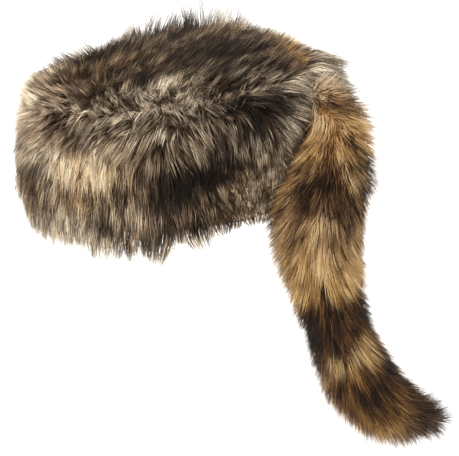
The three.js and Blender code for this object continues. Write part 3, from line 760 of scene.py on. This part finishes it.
def makeCrownSkin():
    shares = np.linspace(*crownCoat["span"], crownCoat["skinAcross"])
    turns = evenTurns(crownCoat["skinAround"])
    share, turn = (grid.ravel() for grid in np.meshgrid(shares, turns, indexing="ij"))
    degrees = signedDegrees(turn)
    points = crownPoints(turn, share, capForm["rootDepth"])
    outward, around = ovalWays(turn)
    slope = outward * (2 * crownRise * share / halfWidth)[:, None]
    facing = unit(slope + np.array([0, 0, 1]))
    swirl = blend(crownCoat["swirling"], smooth(share, *crownCoat["swirlAt"]))
    swirl = swirl * lumpLayers(points, crownCoat["swirl"])
    back = np.stack([swirl, np.ones(len(points)), np.zeros(len(points))], -1)
    edge, brink = (smooth(share, *crownCoat[name]) for name in ("edgeAt", "brinkAt"))
    over = (edge * column(crownCoat["sides"], "over", degrees))[:, None]
    outward = outward + around * lumpLayers(points, crownCoat["edgeSwirl"])[:, None]
    back = back * (1 - over) + outward * over
    back = unit(back - facing * np.sum(back * facing, axis=1)[:, None])
    lie = column(crownCoat["rows"], "lie", share)
    lie = lie * (1 - brink + brink * column(crownCoat["sides"], "lie", degrees))
    comb = back * np.cos(np.radians(lie))[:, None] + facing * np.sin(np.radians(lie))[:, None]
    reach = crownCoat["reach"] * (1 - brink + brink * column(crownCoat["sides"], "reach", degrees))
    reach = reach * (1 + lumpLayers(points, crownCoat["unevenReach"]))
    facts = {"comb": comb, "reach": reach, "stand": np.full(len(points), crownCoat["stand"])}
    facts["mess"], facts["gather"] = (blend(crownCoat[name], edge) for name in ("mess", "gather"))
    facts.update(crownTones(points))
    return makeMesh("crownSkin", points, gridFaces(len(shares), len(turns)), facts)


def makeCrownUnderfur():
    turns = evenTurns(crownCoat["underfurAround"])
    whole = np.ones(turns.shape)
    under = [(0.5, 0.95), (0.9, 0.95), (0.985, 0.4)]  # share out and depth under the underfur's top
    rings = [crownPoints(turns, share * whole, depth * capForm["crownUnderfur"]) for share, depth in under]
    shares = np.linspace(*crownCoat["underfurSpan"], crownCoat["underfurAcross"])
    rings += [crownPoints(turns, share * whole, 0) for share in shares]
    points = np.concatenate(rings + [[[0, 0, rings[0][0][2]]], [[0, 0, rings[-1][0][2]]]])
    faces = tubeFaces(len(rings), len(turns))
    tones = crownTones(points)
    return makeUnderfur("crownUnderfur", points, faces, tones, (0, 1, 0), crownCoat["roughness"])


finishPiece(makeCrownUnderfur(), "crown_pile")
crownSkin = makeCrownSkin()
crownFur = growFur("crownFur", crownSkin, guardHairFur, crownCoat, crownCoat["seed"])
finishPiece(crownFur, "crown_pile")
bpy.data.objects.remove(crownSkin)


# The tail

tailCoat = {
    "parts": {"tailFurUpper": (404, 0.04, 0.5), "tailFurLower": (505, 0.495, 1.0)},  # seed, start and end
    "hairs": 18600,  # on each part
    "seatHeight": 62 * mm,
    "drop": 230 * mm,
    "radius": 21 * mm,
    # the way of its middle: fall, left and swing are shares of the drop, lying of how far fur holds it off
    "route": [
        (-0.01, 0, -0.1, 0), (-0.02, 0, 0.35, 0), (0.02, 0.02, 0.7, 0), (0.11, 0.08, 0.86, 0),
        (0.21, 0.15, 0.84, 0), (0.32, 0.19, 0.74, 0), (0.49, 0.19, 0.75, 0), (0.67, 0.165, 0.71, 0.026),
        (0.83, 0.125, 0.69, 0.064), (0.935, 0.072, 0.69, 0.122), (0.998, 0, 0.69, 0.2),
    ],
    "girths": [
        ("share", "girth"), (0, 0.5), (0.08, 0.68), (0.2, 0.98), (0.34, 1.22), (0.46, 0.98), (0.58, 0.82),
        (0.74, 1.03), (0.84, 0.93), (0.92, 0.62), (1, 0.24),
    ],
    "steps": 90,
    "sides": 30,
    # rings along the tail where the hair roots, as shares of its length
    "rings": [
        ("share", "dark", "warm", "pale"),
        (0.0, 0.72, 0.06, 0.2), (0.07, 0.68, 0.1, 0.2), (0.1, 0.48, 0.4, 0.26), (0.15, 0.42, 0.8, 0.28),
        (0.2, 0.44, 0.9, 0.28), (0.26, 0.52, 0.8, 0.2), (0.3, 0.76, 0.75, 0.14), (0.335, 0.74, 0.7, 0.14),
        (0.37, 0.48, 0.7, 0.26), (0.41, 0.43, 0.8, 0.3), (0.455, 0.36, 0.9, 0.24), (0.5, 0.48, 1.0, 0.14),
        (0.53, 1.04, 1.0, 0.0), (0.61, 1.08, 1.0, 0.0), (0.64, 0.52, 0.75, 0.2), (0.68, 0.34, 0.8, 0.25),
        (0.71, 0.92, 1.0, 0.0), (0.77, 0.95, 1.0, 0.0), (0.81, 0.84, 1.0, 0.08), (0.86, 0.8, 1.0, 0.16),
        (0.9, 0.84, 0.8, 0.08), (1.0, 0.95, 0.3, 0.0),
    ],
    # across is degrees round the tail from the wearer's left towards the back, up is percent along, and long
    # is a share of the hair's reach where a patch changes it
    "patches": [
        ("across", "up", "wide", "tall", "dark", "warm", "pale", "long"),
        (112, 20, 30, 4, 1.0, 0.2, 0.0, 1.4), (36, 25, 34, 3.6, 0.94, 0.8, 0.0),
        # the first patch on the next line, at -55 degrees and 17 percent, is painted shade: the shadow the
        # band's fur casts on the left of the tail's root
        (-55, 17, 22, 5, 0.78, 0.7, 0.1), (-80, 38, 20, 9, 0.7, 0.7, 0.1),
        (-55, 64, 26, 6, 0.92, 0.6, 0.0), (60, 63, 40, 4, 0.5, 0.85, 0.25),
        (-65, 84, 52, 13, 0.34, 0.9, 0.3), (30, 84, 34, 4, 0.5, 1.0, 0.2),
    ],
    "reach": 33 * mm,
    "lift": 28,  # degrees off the skin
    "tuftSpacing": 11 * mm, "wispSpacing": 3.4 * mm, "hairWidth": 0.4 * mm,
    "tuftPull": 0.5, "wispPull": 0.66, "strayShare": 0.12,
    "tuftSplay": 0.22, "wispSplay": 0.22, "hairSplay": 0.22, "curl": 0.1, "unevenLength": 0.5,
    "tuftContrast": 0.34, "wispContrast": 0.6, "hairContrast": 0.5, "darkTips": 0.26,
    # layers of lumps: amount, size and seed
    "shade": [(0.14, 12 * mm, 43)],
    "ringWander": [(0.02, 18 * mm, 41)],
    "ringTilt": 0.035, "tiltTurn": 0.6,  # rings lie a little aslant
    # at the root hair falls, stands off more and is shorter, between these shares of the length
    "falling": 0.9, "fallingAt": (0.26, 0.08),
    "rootLift": 0.4, "rootLiftAt": (0.22, 0.04),
    "rootReach": (0.7, 0.3), "rootReachAt": (0.02, 0.16),
    "liftLost": 0.4,  # by the tip
    "tipShorter": 0.2, "tipAt": (0.85, 1.0),
    # before the brush of the tip, and how much more in it
    "stand": 0.5, "mess": (1, 0.5), "gather": (0.85, -0.35), "brushAt": (0.8, 1.0),
    "roundFrom": (0.0, 1.0, 0.2),  # the way that turns round the tail are counted from
    "pathSteps": 800, "underfurSteps": 70, "underfurSides": 26, "roughness": 0.8 * mm,
}


# An even, smooth way through the route's places, found as a centripetal spline.
def smoothPath(places, count):
    places = np.asarray(places, dtype=float)
    knots = np.concatenate([[0], np.cumsum(np.linalg.norm(np.diff(places, axis=0), axis=1) ** 0.5)])
    slopes = np.gradient(places, knots, axis=0)
    wanted = np.linspace(0, knots[-1], tailCoat["pathSteps"])
    piece = np.clip(np.searchsorted(knots, wanted, side="right") - 1, 0, len(knots) - 2)
    width = (knots[piece + 1] - knots[piece])[:, None]
    s = (wanted - knots[piece])[:, None] / width
    fine = ((2 * s ** 3 - 3 * s ** 2 + 1) * places[piece] + (s ** 3 - 2 * s ** 2 + s) * width * slopes[piece]
            + (3 * s ** 2 - 2 * s ** 3) * places[piece + 1] + (s ** 3 - s ** 2) * width * slopes[piece + 1])
    length = np.concatenate([[0], np.cumsum(np.linalg.norm(np.diff(fine, axis=0), axis=1))])
    even = np.linspace(0, length[-1], count)
    return np.stack([np.interp(even, length, fine[:, axis]) for axis in range(3)], -1)


# Rings of points along the tail, with the way out of the tail at each point and the way down it at each ring.
def tailRings(shares, turns, depth):
    seat = halfLength - capForm["bandLean"] * tailCoat["seatHeight"] / bandHeight
    standOff = capForm["underfur"] + tailCoat["radius"]
    drop = tailCoat["drop"]
    places = [(left * drop, seat + lying * standOff + swing * drop, tailCoat["seatHeight"] - fall * drop)
              for fall, left, lying, swing in tailCoat["route"]]
    middle = smoothPath(places, len(shares))
    down = unit(np.gradient(middle, axis=0))
    side = unit(np.cross(down, np.array(tailCoat["roundFrom"])))
    face = np.cross(side, down)
    out = np.cos(turns)[None, :, None] * side[:, None, :] + np.sin(turns)[None, :, None] * face[:, None, :]
    radius = column(tailCoat["girths"], "girth", shares) * tailCoat["radius"] - depth
    return middle[:, None, :] + out * radius[:, None, None], out, down


def tailTones(share, turn, points):
    tilt = tailCoat["ringTilt"] * np.sin(turn + tailCoat["tiltTurn"])
    place = share + tilt + lumpLayers(points, tailCoat["ringWander"])
    start = {name: column(tailCoat["rings"], name, place) for name in ("dark", "warm", "pale")}
    start["long"] = 1 - tailCoat["tipShorter"] * smooth(share, *tailCoat["tipAt"])
    return paintPatches(points, signedDegrees(turn), 100 * share, start, tailCoat)


def makeTailSkin(start, end):
    shares = np.linspace(0, 1, tailCoat["steps"])
    turns = evenTurns(tailCoat["sides"])
    rings, out, down = tailRings(shares, turns, capForm["rootDepth"])
    kept = (shares >= start) & (shares <= end)
    points, facing = rings[kept].reshape(-1, 3), out[kept].reshape(-1, 3)
    share, turn = np.repeat(shares[kept], len(turns)), np.tile(turns, kept.sum())
    falls = tailCoat["falling"] * smooth(share, *tailCoat["fallingAt"])
    falling = np.array([0, 0, -1]) + facing * facing[:, 2:]
    way = unit(np.repeat(down[kept], len(turns), axis=0) + falls[:, None] * falling)
    lift = np.radians(tailCoat["lift"]) * (1 - tailCoat["liftLost"] * share)
    lift = lift * (1 + tailCoat["rootLift"] * smooth(share, *tailCoat["rootLiftAt"]))
    comb = way * np.cos(lift)[:, None] + facing * np.sin(lift)[:, None]
    tones = tailTones(share, turn, points)
    reach = tailCoat["reach"] * blend(tailCoat["rootReach"], smooth(share, *tailCoat["rootReachAt"]))
    reach = reach * tones.pop("long")
    brush = smooth(share, *tailCoat["brushAt"])
    facts = {"comb": comb, "reach": reach, "stand": np.full(len(points), tailCoat["stand"])}
    facts["mess"], facts["gather"] = (blend(tailCoat[name], brush) for name in ("mess", "gather"))
    facts.update(tones)
    return makeMesh("tailSkin", points, gridFaces(kept.sum(), len(turns)), facts)


def makeTailUnderfur():
    shares = np.linspace(0, 1, tailCoat["underfurSteps"])
    turns = evenTurns(tailCoat["underfurSides"])
    rings = tailRings(shares, turns, 0)[0]
    # its seat lies on the band's ground and stays out of the head opening
    around = np.arctan2(rings[..., 1] / halfLength, rings[..., 0] / halfWidth)
    ground = ovalPoints(around, capForm["seatGap"], rings[..., 2])
    within = np.hypot(rings[..., 0], rings[..., 1]) < np.hypot(ground[..., 0], ground[..., 1])
    rings = np.where((within & (rings[..., 2] > 0))[..., None], ground, rings)
    points = np.concatenate([rings.reshape(-1, 3), rings[0].mean(0)[None], rings[-1].mean(0)[None]])
    faces = tubeFaces(len(shares), len(turns))
    share = np.append(np.repeat(shares, len(turns)), [0, 1])
    turn = np.append(np.tile(turns, len(shares)), [0, 0])
    tones = tailTones(share, turn, points)
    return makeUnderfur("tailUnderfur", points, faces, tones, (0, 0, 1), tailCoat["roughness"])


finishPiece(makeTailUnderfur(), "tail")
for name, (seed, start, end) in tailCoat["parts"].items():
    tailSkin = makeTailSkin(start, end)
    finishPiece(growFur(name, tailSkin, guardHairFur, tailCoat, seed), "tail")
    bpy.data.objects.remove(tailSkin)
bpy.data.objects.remove(guardHair)

for name in ("band_backing", "crown_backing"):
    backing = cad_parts[name]
    if not backing.material_slots:
        backing.data.materials.append(knittedGround)
    for slot in backing.material_slots:
        slot.material = knittedGround
print("backings take the knitted ground")


# Studio

studio = {
    "floorDrop": 290 * mm,  # below the hem, under the tail's tip
    "floorReach": 12,
    "floorColour": "#f6f5f3",
    "azimuth": 120,
    "elevation": 19,
    "roll": -8,
    "distance": 1.5,
    "aim": (-13.4 * mm, 23.3 * mm, -35.4 * mm),
    "widthInView": 332 * mm,
    # place, size, power and colour
    "panels": {
        "keyPanel": ((1.6, -0.7, 1.9), 1.4, 90, "#fff9f0"),
        "fillPanel": ((1.3, 1.7, 0.6), 1.6, 26, "#fbfaf6"),
        "backPanel": ((-1.5, 0.6, 1.6), 1.2, 26, "#ffffff"),
    },
    "roomBrightness": 0.8,
    "roomColour": "#ffffff",
}


def makeFloor():
    # Pale studio paper: matt and even, so that only a soft shadow shows on it.
    paper, tree = startFinish("paleStudioPaper")
    shader = addNode(tree, "ShaderNodeBsdfDiffuse", {"Color": linearColour(studio["floorColour"])})
    addNode(tree, "ShaderNodeOutputMaterial", {"Surface": shader}, None)
    reach, height = studio["floorReach"], -studio["floorDrop"]
    corners = [(x * reach, y * reach, height) for x, y in ((-1, -1), (1, -1), (1, 1), (-1, 1))]
    floor = makeMesh("studioFloor", corners, [(0, 1, 2, 3)])
    floor.data.materials.append(paper)


def makeLights():
    for name, (place, size, power, colour) in studio["panels"].items():
        lamp = bpy.data.lights.new(name, "AREA")
        lamp.size, lamp.energy = size, power
        lamp.color = linearColour(colour)[:3]
        light = addObject(name, lamp)
        light.location = place
        light.rotation_euler = (Vector(studio["aim"]) - Vector(place)).to_track_quat("-Z", "Y").to_euler()
    room = bpy.data.worlds.new("paleRoom")
    room.use_nodes = True
    background = room.node_tree.nodes["Background"].inputs
    background["Color"].default_value = linearColour(studio["roomColour"])
    background["Strength"].default_value = studio["roomBrightness"]
    bpy.context.scene.world = room
    bpy.context.scene.view_settings.view_transform = "Standard"


def makeCamera():
    turn, rise = math.radians(studio["azimuth"]), math.radians(studio["elevation"])
    away = Vector((math.sin(turn) * math.cos(rise), -math.cos(turn) * math.cos(rise), math.sin(rise)))
    lens = bpy.data.cameras.new("portraitLens")
    lens.sensor_width = 36
    lens.lens = lens.sensor_width * studio["distance"] / studio["widthInView"]
    lens.clip_end = 60
    camera = addObject("portraitCamera", lens)
    camera.location = Vector(studio["aim"]) + away * studio["distance"]
    look = (-away).to_track_quat("-Z", "Y").to_matrix()
    camera.rotation_euler = (look @ Matrix.Rotation(math.radians(studio["roll"]), 3, "Z")).to_euler()
    bpy.context.scene.camera = camera


makeFloor()
makeLights()
makeCamera()
print("studio set")
